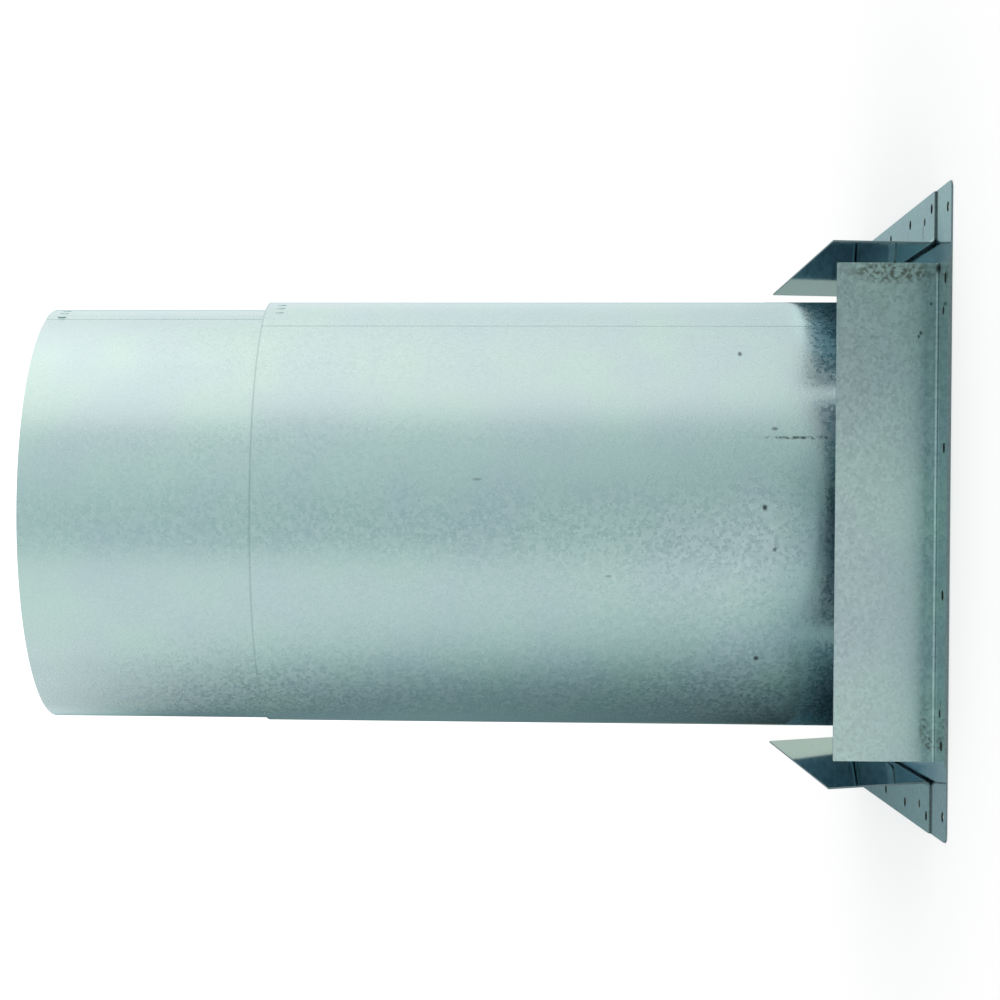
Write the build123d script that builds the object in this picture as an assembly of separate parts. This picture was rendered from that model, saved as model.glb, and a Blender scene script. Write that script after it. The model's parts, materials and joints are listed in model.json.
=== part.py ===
from build123d import *
from math import cos, degrees, radians, sin, tan
import os

# Ceiling firestop for a round vent pipe, all folded and rolled from galvanized sheet.
# It stands on its plate: origin at the centre of the plate's underside, +Z along the sleeve.
# Millimetres. The pipe comes up through the plate's hole and runs inside the two sleeves.

inch = 25.4

# The pipe that it is made for, and the space kept round it
pipe_diameter = 6.625 * inch
pipe_hole_clearance = inch / 16
air_space = 1.0 * inch

# Sleeves: the inner one slips into the mouth of the outer one
sleeve_sheet = 0.55
slip_clearance = 2.1
sleeve_rest_gap = 0.5
outer_sleeve_height = 12.75 * inch
inner_sleeve_length = 13.0 * inch
extension = 113.45
lap_width = 1.5 * inch
joggle_width = 4.0
outer_seam_angle = -32.5
inner_seam_angle = -22.0

# Short clinched ridges that hold each lap shut near the sleeve's free end
ridge_count = 3
ridge_pitch = 7.4
ridge_length = 4.5
ridge_radius = 0.7
ridge_height = 0.4
ridge_end_distance = 7.8
outer_ridges_angle = -20.4
inner_ridges_angle = -16.8

# Tabs at the foot of the outer sleeve, bent out and welded to the plate
tab_count = 8
tab_width = 19.0
tab_end_gap = 4.0
tab_relief_width = 1.5
tab_relief_height = 3.0

# Brackets: a flange on the plate and a flap that stands up beside the sleeve
bracket_sheet = 0.85
flap_gap = 16.9
flap_height = 1.875 * inch
flange_width = 0.9375 * inch
bracket_corner_gap = 11.1
bend_inside_radius = 1.0
bracket_corner_radius = 0.5
flap_lean = {"right": 1.2, "back": 2.0, "left": 4.3, "front": 2.3}

# Plate
plate_sheet = 0.85
plate_corner_radius = 4.0

# Nail holes, through the plate and through the flange that lies on it
nail_hole_diameter = 4.8
nail_edge_distance = 7.5
side_nail_end_distance = 6.6
side_nail_count = 5
front_nail_end_distance = 8.9
middle_nail_spacing = 67.5
middle_nail_shift = -4.25
corner_nail_inset = 11.3

# Spot welds, pressed a little into the flanges
weld_diameter = 4.0
weld_depth = 0.15
weld_end_distance = 23.4
weld_edge_distance = 11.3

# Sizes that follow
outer_sleeve_inside = pipe_diameter / 2 + air_space
outer_sleeve_outside = outer_sleeve_inside + sleeve_sheet
inner_sleeve_outside = outer_sleeve_inside - slip_clearance
inner_sleeve_inside = inner_sleeve_outside - sleeve_sheet
inner_sleeve_shift = slip_clearance - sleeve_rest_gap
mouth_height = outer_sleeve_height + plate_sheet
inner_sleeve_bottom = mouth_height + extension - inner_sleeve_length
flap_face = outer_sleeve_outside + flap_gap
plate_half = flap_face + flange_width
bracket_half_length = flap_face - bracket_corner_gap
nail_line = plate_half - nail_edge_distance
tab_length = flap_gap - bracket_sheet - tab_end_gap
tab_root = plate_sheet + sleeve_sheet + bend_inside_radius + tab_relief_height
turns = {"right": 0, "back": 90, "left": 180, "front": 270}


def polar(radius, angle):
    """Point of the plan at a radius and an angle in degrees from +X."""
    return (radius * cos(radians(angle)), radius * sin(radians(angle)))


def ring_sector(inside, sheet, start, size):
    """Section of a sheet rolled round the axis, over a stretch of its circle."""
    with BuildSketch() as sketch:
        with BuildLine():
            inner = CenterArc((0, 0), inside, start, size)
            outer = CenterArc((0, 0), inside + sheet, start, size)
            Line(inner @ 0, outer @ 0)
            Line(inner @ 1, outer @ 1)
        make_face()
    return sketch.sketch


def rolled_section(inside, seam_angle):
    """Section of a sleeve: one sheet, whose end steps out and laps over its start."""
    outside = inside + sleeve_sheet
    lap_angle = degrees(lap_width / outside)
    joggle_angle = degrees(joggle_width / outside)
    under_edge = seam_angle + lap_angle
    wall = ring_sector(inside, sleeve_sheet, under_edge + joggle_angle, 360 - joggle_angle)
    lap = ring_sector(outside, sleeve_sheet, seam_angle, lap_angle)
    step_foot = under_edge + joggle_angle
    with BuildSketch() as step:
        with BuildLine():
            Polyline(
                polar(inside, step_foot),
                polar(outside, step_foot),
                polar(outside + sleeve_sheet, under_edge),
                polar(outside, under_edge),
                close=True,
            )
        make_face()
    return wall + lap + step.sketch


def clinched_ridges(inside, middle_angle, free_end):
    """Ridges that stand up from a lap, side by side along the rim, lengthwise to the sleeve."""
    lap_outside = inside + 2 * sleeve_sheet
    axis_radius = lap_outside + ridge_height - ridge_radius
    step = degrees(ridge_pitch / lap_outside)
    first_angle = middle_angle - step * (ridge_count - 1) / 2
    height = free_end - ridge_end_distance
    ridge = Pos(axis_radius, 0, height) * Cylinder(ridge_radius, ridge_length)
    return [Rot(0, 0, first_angle + i * step) * ridge for i in range(ridge_count)]


def bent_strip(points, sheet):
    """Section of a bent sheet, from the middle line of its thickness."""
    with BuildSketch(Plane.XZ) as sketch:
        with BuildLine():
            FilletPolyline(*points, radius=bend_inside_radius + sheet / 2)
        trace(line_width=sheet)
    return sketch.sketch


def nail_points():
    """Centres of all the nail holes in the plate, corner ones too."""
    side_reach = bracket_half_length - side_nail_end_distance
    side_step = 2 * side_reach / (side_nail_count - 1)
    front_reach = bracket_half_length - front_nail_end_distance
    corner_reach = plate_half - corner_nail_inset
    middle_reach = middle_nail_spacing / 2
    front_places = [-corner_reach, -front_reach, front_reach, corner_reach]
    front_places += [middle_nail_shift - middle_reach, middle_nail_shift + middle_reach]
    points = []
    for edge in (-nail_line, nail_line):
        points += [(edge, -side_reach + i * side_step) for i in range(side_nail_count)]
        points += [(place, edge) for place in front_places]
    return points


def nail_punch():
    """One round tool for each nail hole, through the plate and the flanges."""
    depth = plate_sheet + bracket_sheet
    with BuildPart() as tool:
        with Locations(*[(x, y, depth / 2) for x, y in nail_points()]):
            Cylinder(nail_hole_diameter / 2, 3 * depth)
    return tool.part


def weld_points():
    """Centres of a bracket's spot welds, before the bracket is turned to its side."""
    reach = bracket_half_length - weld_end_distance
    return [(plate_half - weld_edge_distance, place) for place in (-reach, reach)]


def weld_punch():
    """Shallow discs that press a bracket's spot welds into the top of its flange."""
    with BuildPart() as tool:
        with Locations(*[(x, y, plate_sheet + bracket_sheet) for x, y in weld_points()]):
            Cylinder(weld_diameter / 2, 2 * weld_depth)
    return tool.part


def plate():
    """Square sheet with rounded corners, the pipe hole and the nail holes."""
    hole_radius = pipe_diameter / 2 + pipe_hole_clearance
    with BuildPart() as sheet:
        with BuildSketch():
            RectangleRounded(2 * plate_half, 2 * plate_half, plate_corner_radius)
            Circle(hole_radius, mode=Mode.SUBTRACT)
        extrude(amount=plate_sheet)
    return sheet.part - nail_punch()


def bracket(side):
    """L bracket: flange out to the plate's edge, round bend, flap leaning out a little."""
    half_sheet = bracket_sheet / 2
    flange_height = plate_sheet + half_sheet
    flap_top = plate_sheet + flap_height
    flap_foot = flap_face - half_sheet
    flap_reach = (flap_top - flange_height) * tan(radians(flap_lean[side]))
    middle_line = [
        (plate_half, flange_height),
        (flap_foot, flange_height),
        (flap_foot + flap_reach, flap_top),
    ]
    solid = extrude(bent_strip(middle_line, bracket_sheet), bracket_half_length, both=True)
    short_edges = solid.edges().filter_by(lambda edge: abs(edge.length - bracket_sheet) < 0.01)
    corners = short_edges.sort_by(Axis.Z)[-2:] + short_edges.sort_by(Axis.X)[-2:]
    solid = fillet(corners, bracket_corner_radius)
    solid -= weld_punch()
    return solid.rotate(Axis.Z, turns[side]) - nail_punch()


def foot_tab():
    """One tab on +X: the foot of the wall, bent out on the plate along a straight line."""
    wall_middle = outer_sleeve_inside + sleeve_sheet / 2
    foot_height = plate_sheet + sleeve_sheet / 2
    middle_line = [
        (outer_sleeve_outside + tab_length, foot_height),
        (wall_middle, foot_height),
        (wall_middle, tab_root),
    ]
    return extrude(bent_strip(middle_line, sleeve_sheet), tab_width / 2, both=True)


def outer_sleeve():
    """Rolled tube with a lap seam, standing on the plate on its bent-out tabs."""
    section = rolled_section(outer_sleeve_inside, outer_seam_angle)
    wall = Pos(0, 0, plate_sheet) * extrude(section, mouth_height - plate_sheet)
    seam_width = degrees((lap_width + joggle_width) / outer_sleeve_outside)
    pitch = 360 / tab_count
    first_tab = outer_seam_angle + (seam_width + pitch) / 2
    places = [Rot(0, 0, first_tab + i * pitch) for i in range(tab_count)]
    slot_width = tab_width + 2 * tab_relief_width
    slot = Pos(outer_sleeve_inside, 0, 0) * Box(tab_width, slot_width, 2 * tab_root)
    tab = foot_tab()
    wall = wall - [place * slot for place in places] + [place * tab for place in places]
    return wall + clinched_ridges(outer_sleeve_inside, outer_ridges_angle, mouth_height)


def inner_sleeve():
    """Rolled tube with a lap seam, lying against the left side of the outer sleeve."""
    section = rolled_section(inner_sleeve_inside, inner_seam_angle)
    wall = extrude(section, inner_sleeve_length)
    wall += clinched_ridges(inner_sleeve_inside, inner_ridges_angle, inner_sleeve_length)
    return Pos(-inner_sleeve_shift, 0, inner_sleeve_bottom) * wall


parts = {"firestop_plate": plate(), "outer_sleeve": outer_sleeve(), "inner_sleeve": inner_sleeve()}
for side in turns:
    parts["bracket_" + side] = bracket(side)

os.makedirs("parts", exist_ok=True)
for name, solid in parts.items():
    export_step(solid, "parts/" + name + ".step")
    print(name, round(solid.volume), "mm3")
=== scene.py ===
import bpy
import bmesh
import json
from math import atan2, cos, degrees, pi, radians, sin, tan
from mathutils import Matrix, Vector


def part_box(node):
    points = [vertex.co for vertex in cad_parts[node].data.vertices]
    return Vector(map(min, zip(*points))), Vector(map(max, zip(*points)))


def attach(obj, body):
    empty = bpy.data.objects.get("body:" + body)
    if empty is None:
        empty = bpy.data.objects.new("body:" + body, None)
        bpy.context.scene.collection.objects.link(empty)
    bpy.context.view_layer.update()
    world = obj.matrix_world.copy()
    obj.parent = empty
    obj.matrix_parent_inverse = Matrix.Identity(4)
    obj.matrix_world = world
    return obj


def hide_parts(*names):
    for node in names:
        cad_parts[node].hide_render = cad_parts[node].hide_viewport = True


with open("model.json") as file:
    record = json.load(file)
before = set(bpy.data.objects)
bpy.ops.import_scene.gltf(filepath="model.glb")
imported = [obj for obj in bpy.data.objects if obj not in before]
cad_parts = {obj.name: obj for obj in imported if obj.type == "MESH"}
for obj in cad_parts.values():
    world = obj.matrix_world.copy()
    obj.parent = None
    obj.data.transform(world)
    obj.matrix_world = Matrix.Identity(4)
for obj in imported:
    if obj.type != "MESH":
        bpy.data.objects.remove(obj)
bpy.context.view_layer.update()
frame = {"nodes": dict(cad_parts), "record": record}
print("frame loaded with", len(frame["nodes"]), "nodes")

plateLow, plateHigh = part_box("firestop_plate")
rightLow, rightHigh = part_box("bracket_right")
outerLow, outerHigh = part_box("outer_sleeve")
innerLow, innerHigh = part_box("inner_sleeve")
mounts = {mount["name"]: mount for mount in frame["record"]["mounts"]}
plateTop = plateHigh.z

pickMargin = 0.001
tiny = 0.00001
sharpAngle = 50  # degrees: gentler bends are shaded smooth and aren't bevelled
edgeSteps = 2


# Small helpers for working in edit mode

def clearSelection():
    bpy.ops.object.select_all(action="DESELECT")


def activate(piece):
    clearSelection()
    piece.select_set(True)
    bpy.context.view_layer.objects.active = piece


def startEdit(piece, mode="VERT"):
    activate(piece)
    bpy.ops.object.mode_set(mode="EDIT")
    bpy.ops.mesh.select_mode(type=mode)
    bpy.ops.mesh.select_all(action="DESELECT")


def endEdit():
    bpy.ops.object.mode_set(mode="OBJECT")


def pickVertices(piece, test):
    mesh = bmesh.from_edit_mesh(piece.data)
    for vertex in mesh.verts:
        vertex.select = test(vertex.co)
    mesh.select_flush_mode()
    bmesh.update_edit_mesh(piece.data)


def pickFaces(piece, test):
    mesh = bmesh.from_edit_mesh(piece.data)
    for face in mesh.faces:
        face.select = test(face)
    mesh.select_flush_mode()
    bmesh.update_edit_mesh(piece.data)


def pickEdges(piece, test):
    mesh = bmesh.from_edit_mesh(piece.data)
    for edge in mesh.edges:
        edge.select = test(edge.verts[0].co, edge.verts[1].co)
    mesh.select_flush_mode()
    bmesh.update_edit_mesh(piece.data)


def pickFold(piece, foot, height):  # the edge from which an upright was drawn up
    pickEdges(piece, lambda a, b: max(a.x, b.x) < foot + pickMargin and max(a.z, b.z) < height + tiny)


def applyModifier(piece, kind, **settings):
    activate(piece)
    modifier = piece.modifiers.new(kind.title(), kind)
    for name, value in settings.items():
        setattr(modifier, name, value)
    bpy.ops.object.modifier_apply(modifier=modifier.name)


def applyPlace(piece):
    activate(piece)
    bpy.ops.object.transform_apply(location=True, rotation=True, scale=True)


def joinPieces(pieces, name):
    activate(pieces[0])
    for piece in pieces:
        piece.select_set(True)
    if len(pieces) > 1:
        bpy.ops.object.join()
    joined = bpy.context.view_layer.objects.active
    joined.name = name
    return joined


def cutAway(piece, cutter, wallMaterial):
    cutter.data.materials.clear()
    cutter.data.materials.append(wallMaterial)
    applyModifier(
        piece, "BOOLEAN", operation="DIFFERENCE", object=cutter, solver="EXACT", material_mode="TRANSFER"
    )
    bpy.data.objects.remove(cutter)


def dress(piece, *materials):
    piece.data.materials.clear()
    for material in materials:
        piece.data.materials.append(material)


def thicken(piece, sheet):  # the sheared rims take the second material
    applyModifier(
        piece, "SOLIDIFY", thickness=sheet, offset=0, use_even_offset=True, material_offset_rim=1
    )


def easeEdges(piece, width, angle=sharpAngle):
    applyModifier(
        piece, "BEVEL", width=width, segments=edgeSteps, limit_method="ANGLE", angle_limit=radians(angle)
    )


def turnPiece(piece, angle):
    piece.rotation_euler = (0, 0, radians(angle))
    applyPlace(piece)


def finishPiece(piece, node, body):
    applyPlace(piece)
    activate(piece)
    bpy.ops.object.shade_smooth_by_angle(angle=radians(sharpAngle), keep_sharp_edges=True)
    applyModifier(piece, "WEIGHTED_NORMAL", keep_sharp=True)
    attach(piece, body)
    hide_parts(node)


# Shader helpers

def opaque(color):
    return (*color, 1.0)


def gray(level):
    return (level, level, level, 1.0)


def newMaterial(name):
    material = bpy.data.materials.new(name)
    material.use_nodes = True
    tree = material.node_tree
    return material, tree, tree.nodes["Principled BSDF"]


def objectPlace(tree):
    return tree.nodes.new("ShaderNodeTexCoord").outputs["Object"]


def setOrLink(tree, socket, value):
    if isinstance(value, bpy.types.NodeSocket):
        tree.links.new(value, socket)
    else:
        socket.default_value = value


def mathNode(tree, operation, first, second=0.0, third=0.0):
    node = tree.nodes.new("ShaderNodeMath")
    node.operation = operation
    for socket, value in zip(node.inputs, (first, second, third)):
        setOrLink(tree, socket, value)
    return node.outputs[0]


def rangeNode(tree, value, low, high, fromValue=0.0, toValue=1.0, smooth=True):
    node = tree.nodes.new("ShaderNodeMapRange")
    node.interpolation_type = "SMOOTHSTEP" if smooth else "LINEAR"
    for socket, setting in zip(node.inputs, (value, low, high, fromValue, toValue)):
        setOrLink(tree, socket, setting)
    return node.outputs[0]


def mixColor(tree, factor, first, second, blend="MIX"):
    node = tree.nodes.new("ShaderNodeMix")
    node.data_type = "RGBA"
    node.blend_type = blend
    setOrLink(tree, node.inputs[0], factor)
    setOrLink(tree, node.inputs[6], first)
    setOrLink(tree, node.inputs[7], second)
    return node.outputs[2]


def noiseNode(tree, place, scale, detail=2.0, roughness=0.5):
    node = tree.nodes.new("ShaderNodeTexNoise")
    tree.links.new(place, node.inputs["Vector"])
    node.inputs["Scale"].default_value = scale
    node.inputs["Detail"].default_value = detail
    node.inputs["Roughness"].default_value = roughness
    return node.outputs["Fac"]


def vectorNode(tree, operation, first, second=(0.0, 0.0, 0.0)):
    node = tree.nodes.new("ShaderNodeVectorMath")
    node.operation = operation
    setOrLink(tree, node.inputs[0], first)
    setOrLink(tree, node.inputs[1], second)
    return node.outputs["Value" if operation == "LENGTH" else "Vector"]


def splitNode(tree, vector):
    node = tree.nodes.new("ShaderNodeSeparateXYZ")
    tree.links.new(vector, node.inputs[0])
    return node.outputs


def mirroredRay(tree, rays):
    return mathNode(tree, "MAXIMUM", rays.outputs["Is Glossy Ray"], rays.outputs["Is Transmission Ray"])


# Galvanized sheet: one recipe, with its own tint, wear and painted shade for each piece

galvanized = {
    "light": (0.56, 0.665, 0.645),
    "dark": (0.47, 0.58, 0.565),
    "warm": (0.99, 1.012, 0.97),
    "cool": (1.005, 0.988, 1.012),
    "roughness": 0.29,
    "grazingRoughness": 0.17,
    "grazing": (0.62, 0.97),  # how slanting the view is where the gloss starts to change, and ends
    "roughnessSpread": 0.2,
    "grainScale": 860.0,
    "grainDetail": 3.0,
    "grainRoughness": 0.65,
    "grainShare": 0.45,
    "spangleScale": 640.0,
    "spangleShare": 0.3,
    "cloudScale": 26.0,
    "cloudDetail": 3.0,
    "cloudShare": 0.3,
    "toneRange": (0.3, 0.75),
    "hueScale": 26.0,
    "hueDetail": 1.0,
    "hueRange": (0.35, 0.65),
    "bump": 0.000034,
    "grazingBump": 0.2,
}
bracketLook = {
    **galvanized,
    "light": (0.52, 0.625, 0.61),
    "dark": (0.345, 0.435, 0.43),
    "roughness": 0.36,
    "grazingRoughness": 0.05,
    "grazing": (0.6, 0.88),
    "bump": 0.00005,
    "grazingBump": 0.03,
}
# painted shade: a darker, bluer copy of the bracket steel for the flaps' inner faces
shadedInsideLook = {**bracketLook, "light": (0.34, 0.56, 0.67), "dark": (0.22, 0.39, 0.49)}
speckles = {"detail": 2.0, "range": (0.42, 0.62)}
edgeStreaks = {"scale": 900.0, "detail": 3.0, "roughness": 0.7}


def markMask(tree, place, mark):
    shift = vectorNode(tree, "SUBTRACT", place, mark["at"])
    reach = vectorNode(tree, "LENGTH", vectorNode(tree, "DIVIDE", shift, mark["size"]))
    soft = mark["soft"]
    mask = rangeNode(tree, reach, 1 - soft, 1 + soft, mark["strength"], 0.0)
    if mark["speckle"]:
        specks = noiseNode(tree, place, mark["speckle"], speckles["detail"])
        mask = mathNode(tree, "MULTIPLY", mask, rangeNode(tree, specks, *speckles["range"]))
    return mask


def contactShadowMask(tree, place, contactShadow):  # painted contact shadow on the plate along the feet and ends of the side brackets
    x, y = [mathNode(tree, "ABSOLUTE", way) for way in splitNode(tree, place)[:2]]
    foot, end, reach = contactShadow["foot"], contactShadow["end"], contactShadow["reach"]
    core = reach * contactShadow["core"]
    inside = rangeNode(tree, y, end + reach, end + core)
    outward = rangeNode(tree, x, foot - reach, foot - core)
    return mathNode(tree, "MULTIPLY", mathNode(tree, "MULTIPLY", inside, outward), contactShadow["strength"])


def galvanizedSheet(name, look, marks=(), rim=None, contactShadow=None):
    material, tree, shader = newMaterial(name)
    place = objectPlace(tree)
    grain = noiseNode(tree, place, look["grainScale"], look["grainDetail"], look["grainRoughness"])
    clouds = noiseNode(tree, place, look["cloudScale"], look["cloudDetail"])
    cells = tree.nodes.new("ShaderNodeTexVoronoi")
    tree.links.new(place, cells.inputs["Vector"])
    cells.inputs["Scale"].default_value = look["spangleScale"]
    cellTone = tree.nodes.new("ShaderNodeSeparateColor")
    tree.links.new(cells.outputs["Color"], cellTone.inputs[0])
    spangle = cellTone.outputs[0]
    tone = mathNode(tree, "MULTIPLY", clouds, look["cloudShare"])
    tone = mathNode(tree, "MULTIPLY_ADD", grain, look["grainShare"], tone)
    tone = mathNode(tree, "MULTIPLY_ADD", spangle, look["spangleShare"], tone)
    tone = rangeNode(tree, tone, *look["toneRange"], smooth=False)
    color = mixColor(tree, tone, opaque(look["dark"]), opaque(look["light"]))
    hue = rangeNode(tree, noiseNode(tree, place, look["hueScale"], look["hueDetail"]), *look["hueRange"])
    hueTint = mixColor(tree, hue, opaque(look["cool"]), opaque(look["warm"]))
    color = mixColor(tree, 1.0, color, hueTint, "MULTIPLY")
    for mark in marks:
        mask = markMask(tree, place, mark)
        if "shade" in mark:
            color = mixColor(tree, mask, color, opaque(mark["shade"]), "MULTIPLY")
        else:
            color = mixColor(tree, mask, color, opaque(mark["tint"]))
    # painted shade in a band just under the mouth
    if rim:
        height = splitNode(tree, place)[2]
        mask = rangeNode(tree, height, rim["from"], rim["to"], 0.0, rim["strength"])
        color = mixColor(tree, mask, color, opaque(rim["tint"]))
    # painted contact shadow along the feet and ends of the side brackets
    if contactShadow:
        color = mixColor(tree, contactShadowMask(tree, place, contactShadow), color, opaque(contactShadow["tint"]))
    facing = tree.nodes.new("ShaderNodeLayerWeight")
    facing.inputs["Blend"].default_value = 0.5
    slant = facing.outputs["Facing"]
    gloss = rangeNode(tree, slant, *look["grazing"], look["roughness"], look["grazingRoughness"])
    spread = look["roughnessSpread"]
    cellGloss = rangeNode(tree, spangle, 0, 1, 1 - spread, 1 + spread, smooth=False)
    gloss = mathNode(tree, "MULTIPLY", gloss, cellGloss)
    relief = rangeNode(tree, slant, *look["grazing"], 1.0, look["grazingBump"])
    bump = tree.nodes.new("ShaderNodeBump")
    tree.links.new(relief, bump.inputs["Strength"])
    bump.inputs["Distance"].default_value = look["bump"]
    tree.links.new(grain, bump.inputs["Height"])
    tree.links.new(color, shader.inputs["Base Color"])
    tree.links.new(gloss, shader.inputs["Roughness"])
    tree.links.new(bump.outputs[0], shader.inputs["Normal"])
    shader.inputs["Metallic"].default_value = 1.0
    return material


def shearedEdge(name, dark, light, roughness):
    material, tree, shader = newMaterial(name)
    streaks = noiseNode(tree, objectPlace(tree), **edgeStreaks)
    tree.links.new(mixColor(tree, streaks, opaque(dark), opaque(light)), shader.inputs["Base Color"])
    shader.inputs["Roughness"].default_value = roughness
    shader.inputs["Metallic"].default_value = 1.0
    return material


# Marks, both painted light and shade and real stains: where each one lies, its half sizes, its colour,
# then how soft or strong it is

olive = (0.07, 0.075, 0.045)
brown = (0.1, 0.085, 0.05)
# soot for real marks, and also the colour of the painted contact shadow on the plate
sootAndShadow = (0.025, 0.03, 0.028)
stainSoftness = 0.45


def shaded(at, size, shade, soft):  # painted light and shade: a wide patch that darkens the steel, or lightens it
    return {"at": at, "size": size, "shade": shade, "soft": soft, "strength": 1.0, "speckle": None}


def stained(at, size, tint, strength, speckle=None):  # a spot of another colour, broken up if speckled
    return {
        "at": at,
        "size": size,
        "tint": tint,
        "soft": stainSoftness,
        "strength": strength,
        "speckle": speckle,
    }


frontShadeAndStains = [
    shaded((0.0, -0.1282, 0.0), (0.3, 0.006, 0.026), (0.86, 0.91, 0.92), 0.85),  # painted shade along the bend
    shaded((0.13, -0.1282, 0.02), (0.08, 0.006, 0.08), (0.7, 0.74, 0.73), 0.7),  # painted shade over the +X end of the flap
    shaded((-0.02, -0.142, 0.0017), (0.105, 0.0125, 0.004), (0.69, 0.85, 0.86), 0.25),  # painted shade on the flange
    stained((0.1115, -0.1282, 0.0225), (0.0045, 0.006, 0.019), olive, 0.75, 500.0),
    stained((0.1133, -0.1282, 0.0023), (0.0025, 0.0016, 0.0007), sootAndShadow, 1.0),
    stained((0.0968, -0.1282, 0.0049), (0.0008, 0.004, 0.0006), sootAndShadow, 0.8),
    stained((0.0833, -0.1282, 0.0096), (0.0009, 0.004, 0.0006), sootAndShadow, 0.8),
    stained((0.0817, -0.1282, 0.0105), (0.0009, 0.004, 0.0005), sootAndShadow, 0.8),
    stained((-0.1, -0.1282, 0.0062), (0.0075, 0.0035, 0.0024), brown, 0.6, 600.0),
    stained((-0.1075, -0.1282, 0.0042), (0.0035, 0.0035, 0.0016), brown, 0.7, 700.0),
    stained((0.1083, -0.1446, 0.0017), (0.0042, 0.0016, 0.002), sootAndShadow, 0.85, 400.0),
    stained((-0.1055, -0.1421, 0.0017), (0.0028, 0.0022, 0.002), brown, 0.9),
    stained((-0.0885, -0.1405, 0.0017), (0.0035, 0.0016, 0.002), brown, 0.7),
]
sideMarks = [stained((0.1351, -0.0883, 0.0017), (0.0035, 0.0018, 0.002), olive, 0.6)]
insideFootShade = [  # painted shade on the feet of the side flaps, standing in for the dark corner they mirror
    shaded((0.127, -0.06, 0.008), (0.006, 0.1, 0.028), (0.42, 0.5, 0.56), 0.4),
    shaded((-0.127, -0.06, 0.008), (0.006, 0.1, 0.028), (0.5, 0.54, 0.6), 0.4),
]
sleeveShadeAndMarks = [  # painted light and shade on the foot, lighter on its +X side and darker elsewhere, then dots and a short streak
    shaded((0.095, -0.06, 0.022), (0.05, 0.06, 0.032), (1.5, 1.6, 1.66), 0.3),
    shaded((-0.045, -0.1, 0.02), (0.07, 0.04, 0.055), (0.72, 0.79, 0.82), 0.36),
    shaded((0.002, -0.11, 0.03), (0.034, 0.02, 0.034), (0.76, 0.8, 0.82), 0.5),
    shaded((-0.105, -0.04, 0.02), (0.036, 0.06, 0.06), (0.56, 0.68, 0.7), 0.5),
    stained((0.0776, -0.0788, 0.0876), (0.0012, 0.003, 0.001), sootAndShadow, 0.7),
    stained((0.0022, -0.1106, 0.0786), (0.0013, 0.003, 0.0011), sootAndShadow, 0.85),
    stained((-0.0709, -0.0849, 0.0793), (0.0011, 0.003, 0.0012), sootAndShadow, 0.85),
    stained((0.0399, -0.1031, 0.0733), (0.0008, 0.003, 0.0014), sootAndShadow, 0.6),
    stained((-0.0177, -0.1092, 0.0736), (0.0009, 0.003, 0.0009), sootAndShadow, 0.6),
    stained((0.0356, -0.1047, 0.06), (0.0007, 0.004, 0.018), sootAndShadow, 0.8, 420.0),
    stained((0.015, -0.1095, 0.215), (0.0006, 0.004, 0.0022), sootAndShadow, 0.35),
    stained((-0.031, -0.106, 0.152), (0.0006, 0.004, 0.0016), sootAndShadow, 0.35),
]
plateCornerShade = [  # painted shade on the corners under the near ends of the side brackets
    shaded((0.117, -0.119, 0.0008), (0.016, 0.015, 0.004), (0.4, 0.58, 0.64), 0.8),
    shaded((-0.117, -0.119, 0.0008), (0.012, 0.012, 0.004), (0.65, 0.75, 0.8), 0.8),
]
# painted contact shadow: a dark band on the plate along the feet and ends of the side brackets
plateContactShadow = {
    "foot": 0.1262,
    "end": 0.1161,
    "reach": 0.0009,
    "core": 0.4,
    "tint": sootAndShadow,
    "strength": 0.9,
}
# painted shade: a darker band round the outer sleeve just under its mouth
mouthRimShade = {
    "from": outerHigh.z - 0.0011,
    "to": outerHigh.z - 0.0004,
    "tint": (0.25, 0.33, 0.33),
    "strength": 0.4,
}
plateSteel = galvanizedSheet("plateSteel", bracketLook, plateCornerShade, contactShadow=plateContactShadow)
bracketSteel = galvanizedSheet("bracketSteel", bracketLook, [*frontShadeAndStains, *sideMarks])
insideSteel = galvanizedSheet("insideSteel", shadedInsideLook, insideFootShade)
outerSteel = galvanizedSheet("outerSteel", galvanized, sleeveShadeAndMarks, rim=mouthRimShade)
innerSteel = galvanizedSheet("innerSteel", galvanized)
edgeSteel = shearedEdge("edgeSteel", dark=(0.1, 0.14, 0.15), light=(0.28, 0.34, 0.34), roughness=0.5)
thinEdge = shearedEdge("thinEdge", dark=(0.36, 0.45, 0.45), light=(0.52, 0.62, 0.62), roughness=0.3)
# near black: painted shade inside the nail holes, and the dark of the spot-weld dimples
holeShadeAndWeldMarks = shearedEdge(
    "holeShadeAndWeldMarks", dark=(0.012, 0.014, 0.012), light=(0.06, 0.06, 0.045), roughness=0.6
)
print("materials made")


# Nail holes: their places are read from the record's nail patterns

nailHole = {"radius": 0.0024, "sides": 28, "punchDepth": 0.02}


def nailPlaces():
    places = []
    for mount in mounts.values():
        if mount["kind"] != "bolt_pattern":
            continue
        halfX = mount["dims"].get("spacing_x_mm", 0) / 2000  # half of it, in metres
        halfY = mount["dims"].get("spacing_y_mm", 0) / 2000
        for signX in (-1, 1) if halfX else (0,):
            for signY in (-1, 1) if halfY else (0,):
                x = mount["pos_m"][0] + signX * halfX
                y = mount["pos_m"][1] + signY * halfY
                places.append((x, y))
    return places


def nailPunch(places):
    tools = []
    for x, y in places:
        clearSelection()
        bpy.ops.mesh.primitive_cylinder_add(
            vertices=nailHole["sides"],
            radius=nailHole["radius"],
            depth=nailHole["punchDepth"],
            location=(x, y, plateTop),
        )
        tools.append(bpy.context.object)
    tool = joinPieces(tools, "nailPunch")
    applyPlace(tool)
    return tool


# Plate: a square sheet, its corners rounded, punched for the pipe and the nails

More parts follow.
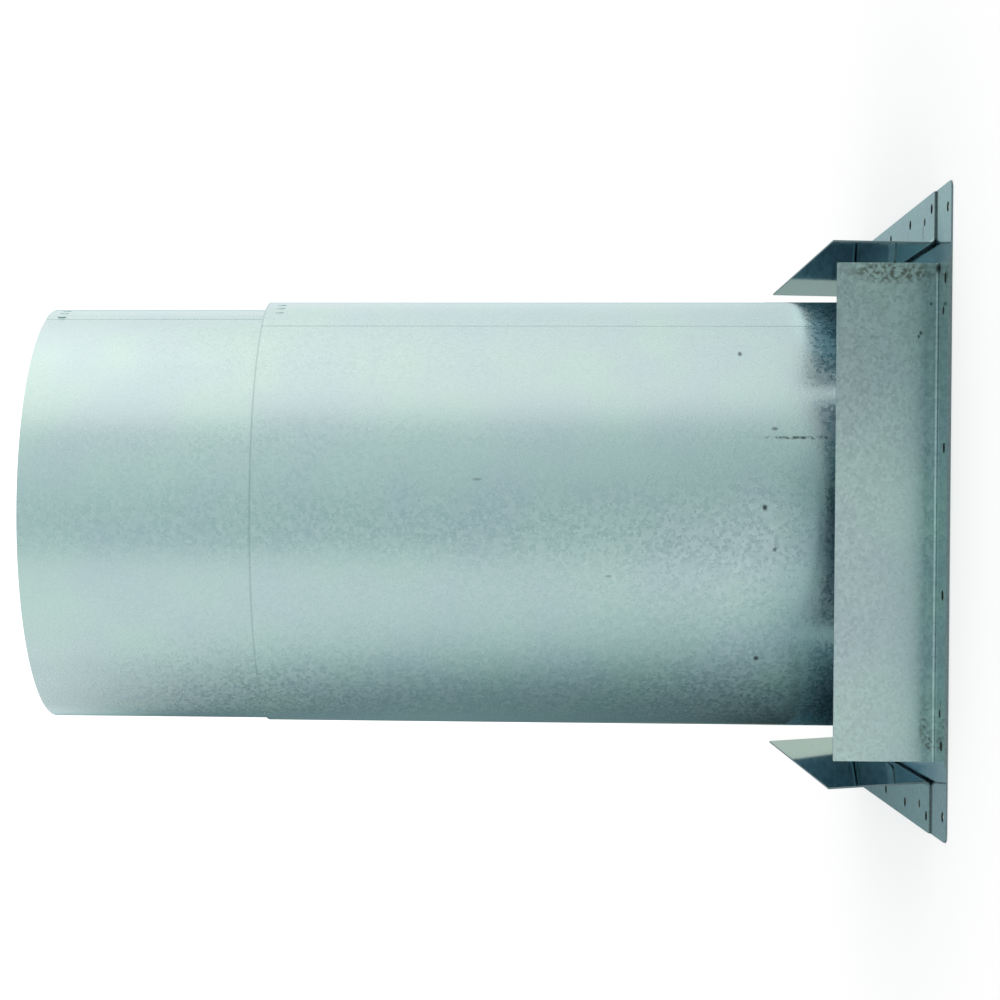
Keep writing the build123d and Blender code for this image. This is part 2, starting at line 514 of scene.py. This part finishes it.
plate = {
    "side": plateHigh.x - plateLow.x,
    "sheet": plateTop,
    "cornerRadius": 0.004,
    "cornerSteps": 8,
    "pipeHoleRadius": mounts["pipe_hole"]["dims"]["r_mm"] / 1000,
    "pipeHoleSides": 160,
    "punchDepth": 0.02,
    "edgeRound": 0.00012,
}


def makePlate():
    clearSelection()
    bpy.ops.mesh.primitive_plane_add(size=plate["side"], location=(0, 0, plate["sheet"] / 2))
    sheet = bpy.context.object
    sheet.name = "firestopPlate"
    applyPlace(sheet)
    startEdit(sheet)
    bpy.ops.mesh.select_all(action="SELECT")
    bpy.ops.mesh.bevel(offset=plate["cornerRadius"], segments=plate["cornerSteps"], affect="VERTICES")
    endEdit()
    dress(sheet, plateSteel, edgeSteel)
    thicken(sheet, plate["sheet"])
    clearSelection()
    bpy.ops.mesh.primitive_cylinder_add(
        vertices=plate["pipeHoleSides"],
        radius=plate["pipeHoleRadius"],
        depth=plate["punchDepth"],
        location=(0, 0, plateTop),
    )
    pipePunch = bpy.context.object
    cutAway(sheet, pipePunch, edgeSteel)
    cutAway(sheet, nailPunch(nailPlaces()), holeShadeAndWeldMarks)
    easeEdges(sheet, plate["edgeRound"])
    finishPiece(sheet, "firestop_plate", "firestop")


makePlate()
print("plate punched")


# Brackets: a flange on the plate, a round bend and a flap that leans out a little

bracket = {
    "sheet": 0.00085,
    "bendRadius": {"right": 0.0023, "back": 0.0016, "left": 0.0023, "front": 0.0016},
    "bendSteps": 10,
    "cornerRadius": 0.0005,
    "cornerSteps": 5,
    "edgeRound": 0.0001,
    "weldRadius": 0.002,
    "weldDepth": 0.00022,
    "weldSides": 28,
    "weldEdgeDistance": 0.0113,
    "weldEndDistance": 0.0234,
    "lean": {"right": 1.2, "back": 2.0, "left": 4.3, "front": 2.3},
    "turn": {"right": 0, "back": 90, "left": 180, "front": 270},
}
plateHalf = plate["side"] / 2
bracketHalfLength = rightHigh.y
flapTop = rightHigh.z
flapFace = rightLow.x + bracket["sheet"]


def makeBracket(side):
    lean = radians(bracket["lean"][side])
    turn = bracket["turn"][side]
    flangeHeight = plateTop + bracket["sheet"] / 2
    foot = flapFace - bracket["sheet"] / 2
    rise = flapTop - flangeHeight
    clearSelection()
    bpy.ops.mesh.primitive_plane_add(size=1, location=((foot + plateHalf) / 2, 0, flangeHeight))
    sheet = bpy.context.object
    sheet.name = "bracket" + side.title()
    sheet.scale = (plateHalf - foot, 2 * bracketHalfLength, 1)
    applyPlace(sheet)
    startEdit(sheet, "EDGE")
    pickEdges(sheet, lambda a, b: max(a.x, b.x) < foot + pickMargin)
    bpy.ops.mesh.extrude_region_move(TRANSFORM_OT_translate={"value": (rise * tan(lean), 0, rise)})
    bpy.ops.mesh.select_mode(type="EDGE")
    pickFold(sheet, foot, flangeHeight)
    bpy.ops.mesh.bevel(offset=bracket["bendRadius"][side], segments=bracket["bendSteps"], affect="EDGES")
    bpy.ops.mesh.select_mode(type="VERT")
    pickVertices(sheet, lambda p: p.z > flapTop - pickMargin or p.x > plateHalf - pickMargin)
    bpy.ops.mesh.bevel(
        offset=bracket["cornerRadius"], segments=bracket["cornerSteps"], affect="VERTICES"
    )
    endEdit()
    startEdit(sheet, "FACE")
    bpy.ops.mesh.select_all(action="SELECT")
    bpy.ops.mesh.normals_make_consistent(inside=False)
    endEdit()
    dress(sheet, bracketSteel, edgeSteel, insideSteel)
    thicken(sheet, bracket["sheet"])
    startEdit(sheet, "FACE")
    pickFaces(sheet, lambda face: face.normal.x < -0.5)  # the flap's inside, towards the sleeve, takes the painted-shade copy of the steel
    sheet.active_material_index = 2
    bpy.ops.object.material_slot_assign()
    endEdit()
    turnPiece(sheet, turn)
    spin = Matrix.Rotation(radians(turn), 3, "Z")
    outward = spin @ Vector((1, 0, 0))
    mine = []
    for x, y in nailPlaces():
        nail = Vector((x, y, 0))
        if nail.dot(outward) > flapFace and abs(nail.cross(outward).z) < bracketHalfLength:
            mine.append((x, y))
    cutAway(sheet, nailPunch(mine), holeShadeAndWeldMarks)
    weldX = plateHalf - bracket["weldEdgeDistance"]
    weldY = bracketHalfLength - bracket["weldEndDistance"]
    sides = bracket["weldSides"]
    welds = []
    for y in (-weldY, weldY):
        place = spin @ Vector((weldX, y, 0))
        place.z = plateTop + bracket["sheet"]
        clearSelection()
        bpy.ops.mesh.primitive_uv_sphere_add(
            segments=sides, ring_count=sides // 2, radius=1, location=place
        )
        weld = bpy.context.object
        weld.scale = (bracket["weldRadius"], bracket["weldRadius"], bracket["weldDepth"])
        welds.append(weld)
    cutAway(sheet, joinPieces(welds, "weldPunch"), holeShadeAndWeldMarks)
    easeEdges(sheet, bracket["edgeRound"])
    finishPiece(sheet, "bracket_" + side, "firestop")


for side in bracket["turn"]:
    makeBracket(side)
print("brackets bent")


# Sleeves: a sheet rolled round, its end stepping out and lapping over its start

sleeve = {
    "sheet": 0.00055,
    "lapWidth": 0.0381,
    "facetWidth": 0.004,
    "riseFacets": 4,
    "lapGap": 0.00004,
    "lapSink": 0.0005,
    "edgeRound": 0.00009,
    "edgeAngle": 60,
    "footBand": 0.0075,
    "ridgeWidth": 0.0007,
    "ridgeHeight": 0.00045,
    "ridgeLength": 0.0045,
    "ridgePitch": 0.0074,
    "ridgeEndDistance": 0.0078,
    "ridgeCount": 3,
    "ridgeSides": 20,
    "ridgeRings": 12,
}


def angleOf(point):
    return degrees(atan2(point.y, point.x))


def nearAngle(point, angle, spread):
    return abs((angleOf(point) - angle + 180) % 360 - 180) < spread


def polar(radius, angle):
    return Vector((radius * cos(radians(angle)), radius * sin(radians(angle)), 0))


def rolledSleeve(name, shape, low, high, steel):
    radius, seamAngle = shape["radius"], shape["seamAngle"]
    count = round(360 / degrees(sleeve["facetWidth"] / radius))
    step = 360 / count
    near = 0.3 * step  # well inside one facet
    lapAngle = degrees(sleeve["lapWidth"] / radius)
    riseAngle = sleeve["riseFacets"] * step
    foot = seamAngle + lapAngle + riseAngle
    clearSelection()
    bpy.ops.mesh.primitive_cylinder_add(
        vertices=count,
        radius=radius,
        depth=high - low,
        end_fill_type="NOTHING",
        location=(0, 0, (low + high) / 2),
    )
    wall = bpy.context.object
    wall.name = name
    applyPlace(wall)
    column = min(angleOf(v.co) % step for v in wall.data.vertices)
    turnPiece(wall, (foot - column) % step)
    startEdit(wall, "FACE")
    half = riseAngle / 2
    pickFaces(wall, lambda face: nearAngle(face.calc_center_median(), foot - half, half))
    bpy.ops.mesh.delete(type="FACE")
    bpy.ops.mesh.select_mode(type="EDGE")
    pickEdges(wall, lambda a, b: nearAngle(a, foot, near) and nearAngle(b, foot, near))
    last = polar(radius, foot)
    for i in range(1, sleeve["riseFacets"] + 1):
        share = i / sleeve["riseFacets"]
        rise = share * share * (3 - 2 * share) * (sleeve["sheet"] + sleeve["lapGap"])
        place = polar(radius + rise, foot - i * step)
        bpy.ops.mesh.extrude_region_move(TRANSFORM_OT_translate={"value": place - last})
        last = place
    bpy.ops.mesh.spin(
        steps=round(lapAngle / step),
        angle=radians(lapAngle),
        center=(0, 0, 0),
        axis=(0, 0, 1),
        dupli=False,
    )
    bpy.ops.mesh.select_all(action="SELECT")
    bpy.ops.mesh.remove_doubles(threshold=tiny)
    bpy.ops.mesh.normals_make_consistent(inside=False)
    bpy.ops.mesh.bisect(plane_co=(0, 0, low + sleeve["footBand"]), plane_no=(0, 0, 1))
    bpy.ops.mesh.select_mode(type="VERT")
    onLap = radius + 0.7 * sleeve["sheet"]
    pickVertices(wall, lambda p: nearAngle(p, seamAngle, near) and p.xy.length > onLap)
    press = 1 - sleeve["lapSink"] / radius  # the end of the lap is pressed into the sheet under it
    bpy.ops.transform.resize(value=(press, press, 1), center_override=(0, 0, 0))
    endEdit()
    dress(wall, steel, thinEdge)
    thicken(wall, sleeve["sheet"])
    return wall


def seamRidges(shape, mouth, steel):  # clinched side by side along the rim, on the face of the lap
    lapFace = shape["radius"] + 1.5 * sleeve["sheet"]
    pitch = degrees(sleeve["ridgePitch"] / lapFace)
    middle = (sleeve["ridgeCount"] - 1) / 2
    ridges = []
    for i in range(sleeve["ridgeCount"]):
        clearSelection()
        bpy.ops.mesh.primitive_uv_sphere_add(
            segments=sleeve["ridgeSides"], ring_count=sleeve["ridgeRings"], radius=1
        )
        ridge = bpy.context.object
        ridge.scale = (sleeve["ridgeHeight"], sleeve["ridgeWidth"], sleeve["ridgeLength"] / 2)
        ridge.location = (lapFace, 0, mouth - sleeve["ridgeEndDistance"])
        applyPlace(ridge)
        turnPiece(ridge, shape["ridgesAngle"] + pitch * (i - middle))
        dress(ridge, steel)
        ridges.append(ridge)
    return ridges


airSpace = 0.0254
pipeClearance = 0.0015875
slipClearance = 0.0021
outerInside = plate["pipeHoleRadius"] - pipeClearance + airSpace

outerSleeve = {
    "radius": outerInside + sleeve["sheet"] / 2,
    "seamAngle": -32.5,
    "ridgesAngle": -20.4,
    "tabs": 8,
    "tabWidth": 0.019,
    "tabRelief": 0.0015,
    "tabReliefHeight": 0.0054,
    "tabReach": 0.01205,
    "tabOverlap": 0.0005,
    "tabBend": 0.0012,
    "tabBendSteps": 6,
    "tabCorner": 0.002,
    "tabCornerSteps": 4,
    "slotDepth": 0.02,
}


def footTab(turn):
    radius = outerSleeve["radius"]
    reach = radius + sleeve["sheet"] / 2 + outerSleeve["tabReach"]
    height = plateTop + sleeve["sheet"] / 2
    rise = outerSleeve["tabReliefHeight"] + outerSleeve["tabOverlap"] - height
    clearSelection()
    bpy.ops.mesh.primitive_plane_add(size=1, location=((reach + radius) / 2, 0, height))
    tab = bpy.context.object
    tab.scale = (reach - radius, outerSleeve["tabWidth"], 1)
    applyPlace(tab)
    startEdit(tab, "EDGE")
    pickEdges(tab, lambda a, b: max(a.x, b.x) < radius + pickMargin)
    bpy.ops.mesh.extrude_region_move(TRANSFORM_OT_translate={"value": (0, 0, rise)})
    pickFold(tab, radius, height)
    bpy.ops.mesh.bevel(
        offset=outerSleeve["tabBend"], segments=outerSleeve["tabBendSteps"], affect="EDGES"
    )
    bpy.ops.mesh.select_mode(type="VERT")
    pickVertices(tab, lambda p: p.x > reach - pickMargin)
    bpy.ops.mesh.bevel(
        offset=outerSleeve["tabCorner"], segments=outerSleeve["tabCornerSteps"], affect="VERTICES"
    )
    bpy.ops.mesh.select_all(action="SELECT")
    bpy.ops.mesh.normals_make_consistent(inside=False)
    endEdit()
    dress(tab, innerSteel, thinEdge)
    thicken(tab, sleeve["sheet"])
    turnPiece(tab, turn)
    return tab


def makeOuterSleeve():
    wall = rolledSleeve("outerSleeve", outerSleeve, outerLow.z, outerHigh.z, outerSteel)
    pitch = 360 / outerSleeve["tabs"]
    lapLength = sleeve["lapWidth"] + sleeve["facetWidth"]
    lapMiddle = outerSleeve["seamAngle"] + degrees(lapLength / 2 / outerSleeve["radius"])
    turns = [lapMiddle + pitch / 2 + i * pitch for i in range(outerSleeve["tabs"])]
    slotWidth = outerSleeve["tabWidth"] + 2 * outerSleeve["tabRelief"]
    slots = []
    for turn in turns:
        clearSelection()
        bpy.ops.mesh.primitive_cube_add(size=1, location=(outerSleeve["radius"], 0, 0))
        slot = bpy.context.object
        slot.scale = (outerSleeve["slotDepth"], slotWidth, 2 * outerSleeve["tabReliefHeight"])
        applyPlace(slot)
        turnPiece(slot, turn)
        slots.append(slot)
    cutAway(wall, joinPieces(slots, "tabSlots"), edgeSteel)
    easeEdges(wall, sleeve["edgeRound"], sleeve["edgeAngle"])
    ridges = seamRidges(outerSleeve, outerHigh.z, outerSteel)
    wall = joinPieces([wall, *[footTab(turn) for turn in turns], *ridges], "outerSleeve")
    finishPiece(wall, "outer_sleeve", "firestop")


innerSleeve = {
    "radius": outerInside - slipClearance - sleeve["sheet"] / 2,
    "seamAngle": -22.0,
    "ridgesAngle": -16.8,
    "shift": -0.0016,
}


def makeInnerSleeve():
    wall = rolledSleeve("innerSleeve", innerSleeve, innerLow.z, innerHigh.z, innerSteel)
    easeEdges(wall, sleeve["edgeRound"], sleeve["edgeAngle"])
    ridges = seamRidges(innerSleeve, innerHigh.z, innerSteel)
    wall = joinPieces([wall, *ridges], "innerSleeve")
    wall.location.x = innerSleeve["shift"]
    finishPiece(wall, "inner_sleeve", "extension")


makeOuterSleeve()
makeInnerSleeve()
print("sleeves rolled")


# Studio: a soft surround, brighter in some directions for the metal, plain white to the camera

studio = {
    "strength": 1.27,
    "round": [  # brightness by compass angle: 0 is the viewer's side, 90 is +X
        (-180, 0.24), (-172, 0.22), (-150, 0.32), (-130, 0.32), (-112, 0.36), (-95, 0.5), (-75, 0.72),
        (-60, 0.79), (-48, 0.8), (-29, 0.77), (-16, 0.54), (0, 0.53), (25, 0.63), (43, 0.645),
        (57, 0.915), (70, 0.965), (100, 0.985), (130, 0.92), (155, 0.87), (165, 0.68), (172, 0.42),
        (180, 0.38),
    ],
    "bands": [  # what the rise of a direction changes: where it starts, where it is full, by how much
        {"slope": (0.09, -0.11), "levels": [
            (-180, 0.3), (-130, 0.36), (-110, 0.42), (-90, 0.59), (-75, 0.71), (-45, 0.88), (-20, 0.93),
            (-5, 1.0), (12, 1.16), (30, 1.24), (48, 1.15), (65, 1.08), (80, 0.98), (180, 0.87),
        ]},
        {"slope": (0.02, 0.13), "levels": [
            (-180, 0.75), (-157, 0.64), (-140, 0.48), (-111, 0.53), (-96, 0.65), (-85, 0.8), (-70, 0.87),
            (-50, 0.95), (-38, 1.0), (180, 1.0),
        ]},
        {"slope": (0.15, 0.23), "levels": [
            (-180, 1.5), (-157, 5.0), (-140, 6.8), (-129, 7.0), (-111, 6.4), (-95, 3.2), (-75, 1.65),
            (-60, 1.34), (-45, 1.14), (-30, 1.13), (-10, 1.25), (10, 1.31), (40, 1.35), (60, 1.31),
            (95, 1.46), (125, 1.3), (140, 1.04), (180, 1.0),
        ]},
        {"slope": (-0.095, -0.122), "levels": [
            (-180, 0.38), (-140, 0.38), (-100, 0.38), (-85, 0.53), (-70, 0.76), (-50, 0.88), (-30, 0.86),
            (-10, 0.88), (5, 1.0), (60, 1.0), (90, 0.88), (125, 0.9), (180, 0.9),
        ]},
        {"slope": (-0.117, -0.139), "levels": [
            (-180, 0.5), (-138, 0.5), (-100, 0.6), (-80, 0.6), (-57, 0.5), (-38, 0.46), (-20, 0.29),
            (5, 0.3), (20, 0.38), (45, 0.45), (80, 0.95), (180, 1.0),
        ]},
    ],
    "underfoot": [
        (-180, 0.5), (-80, 0.5), (-30, 1.12), (3, 1.15), (8, 0.25), (30, 0.3), (70, 0.62), (180, 0.5),
    ],
    "underfootSlope": (-0.19, -0.225),
    "overhead": 0.66,
    "overheadSlope": (0.22, 0.5),
    "backdrop": {"low": (0.342, 0.425, 0.38), "high": (0.533, 0.615, 0.52)},  # the side flaps mirror it
    "backdropDepth": (0.955, 0.97),
    "backdropRise": (0.0, -0.08),
    "backdropSplit": (-0.03, 0.03),
    "shadeTint": (0.55, 0.99, 1.1),
    "evenLight": 1.05,
}


def ringRamp(tree, turn, stops):
    ramp = tree.nodes.new("ShaderNodeValToRGB")
    tree.links.new(turn, ramp.inputs[0])
    elements = ramp.color_ramp.elements
    elements.remove(elements[-1])
    for i, (angle, level) in enumerate(stops):
        place = 0.5 + angle / 360
        stop = elements[0] if i == 0 else elements.new(place)
        stop.position = place
        stop.color = gray(level)
    return ramp.outputs[0]


def makeStudio():
    world = bpy.data.worlds.new("studio")
    bpy.context.scene.world = world
    world.use_nodes = True
    tree = world.node_tree
    tree.nodes.clear()
    direction = tree.nodes.new("ShaderNodeTexCoord").outputs["Generated"]
    x, y, z = splitNode(tree, direction)
    turn = mathNode(tree, "ARCTAN2", x, mathNode(tree, "MULTIPLY", y, -1.0))
    turn = mathNode(tree, "MULTIPLY_ADD", turn, 0.5 / pi, 0.5)  # once round becomes 0 to 1
    white = gray(1.0)
    level = ringRamp(tree, turn, studio["round"])
    for band in studio["bands"]:
        share = rangeNode(tree, z, *band["slope"], smooth=False)
        change = mixColor(tree, share, white, ringRamp(tree, turn, band["levels"]))
        level = mixColor(tree, 1.0, level, change, "MULTIPLY")
    above = rangeNode(tree, z, *studio["overheadSlope"])
    level = mixColor(tree, above, level, gray(studio["overhead"]))
    below = rangeNode(tree, z, *studio["underfootSlope"])
    level = mixColor(tree, below, level, ringRamp(tree, turn, studio["underfoot"]))
    tint = mixColor(tree, level, opaque(studio["shadeTint"]), white)
    color = mixColor(tree, 1.0, level, tint, "MULTIPLY")
    deep = rangeNode(tree, y, *studio["backdropDepth"])
    sunk = rangeNode(tree, z, *studio["backdropRise"])
    behind = mathNode(tree, "MULTIPLY", deep, sunk)
    rays = tree.nodes.new("ShaderNodeLightPath")
    mirrored = mathNode(tree, "MULTIPLY", mirroredRay(tree, rays), behind)
    strength = studio["strength"]
    sides = [opaque([c / strength for c in studio["backdrop"][end]]) for end in ("low", "high")]
    backdrop = mixColor(tree, rangeNode(tree, x, *studio["backdropSplit"]), *sides)
    color = mixColor(tree, mirrored, color, backdrop)
    color = mixColor(tree, rays.outputs["Is Diffuse Ray"], color, gray(studio["evenLight"] / strength))
    color = mixColor(tree, rays.outputs["Is Camera Ray"], color, white)
    background = tree.nodes.new("ShaderNodeBackground")
    background.inputs["Strength"].default_value = strength
    tree.links.new(color, background.inputs["Color"])
    output = tree.nodes.new("ShaderNodeOutputWorld")
    tree.links.new(background.outputs[0], output.inputs[0])


floor = {  # pale paper that fades to plain white further out
    "radius": 0.6,
    "sides": 96,
    "height": -0.0002,
    "tone": (0.96, 0.955, 0.95),
    "roughness": 0.8,
    "fadeStart": 0.12,
    "fadeEnd": 0.36,
    "fadeLow": 0.5,
}


def makeFloor():
    clearSelection()
    bpy.ops.mesh.primitive_circle_add(
        vertices=floor["sides"],
        radius=floor["radius"],
        fill_type="NGON",
        location=(0, 0, floor["height"]),
    )
    ground = bpy.context.object
    ground.name = "floor"
    applyPlace(ground)
    material, tree, paper = newMaterial("floorPaper")
    paper.inputs["Base Color"].default_value = opaque(floor["tone"])
    paper.inputs["Roughness"].default_value = floor["roughness"]
    white = tree.nodes.new("ShaderNodeEmission")
    white.inputs["Color"].default_value = gray(1.0)
    reach = vectorNode(tree, "LENGTH", objectPlace(tree))
    fade = rangeNode(tree, reach, floor["fadeStart"], floor["fadeEnd"], floor["fadeLow"])
    rays = tree.nodes.new("ShaderNodeLightPath")
    seen = mathNode(tree, "MAXIMUM", rays.outputs["Is Camera Ray"], mirroredRay(tree, rays))
    mix = tree.nodes.new("ShaderNodeMixShader")
    tree.links.new(mathNode(tree, "MULTIPLY", fade, seen), mix.inputs[0])
    tree.links.new(paper.outputs[0], mix.inputs[1])
    tree.links.new(white.outputs[0], mix.inputs[2])
    tree.links.new(mix.outputs[0], tree.nodes["Material Output"].inputs[0])
    ground.data.materials.append(material)
    ground.visible_glossy = False


makeStudio()
makeFloor()
print("studio set")


# Camera: the photograph's own place, turned a quarter so that the sleeve runs across the picture

camera = {
    "place": (-0.01063, -1.15561, 0.20116),
    "right": (0.006053, 0.057426, -0.998331),
    "up": (0.999898, 0.012603, 0.006788),
    "lens": 78.71,
    "sensorWidth": 36,
    "shift": (0.12, 0.0606),
}


def makeCamera():
    data = bpy.data.cameras.new("camera")
    data.lens = camera["lens"]
    data.sensor_width = camera["sensorWidth"]
    data.shift_x, data.shift_y = camera["shift"]
    eye = bpy.data.objects.new("camera", data)
    bpy.context.scene.collection.objects.link(eye)
    right, up = Vector(camera["right"]), Vector(camera["up"])
    turn = Matrix((right, up, right.cross(up))).transposed()
    eye.matrix_world = Matrix.Translation(camera["place"]) @ turn.to_4x4()
    bpy.context.scene.camera = eye


makeCamera()
bpy.context.scene.view_settings.view_transform = "Standard"
print("camera placed")
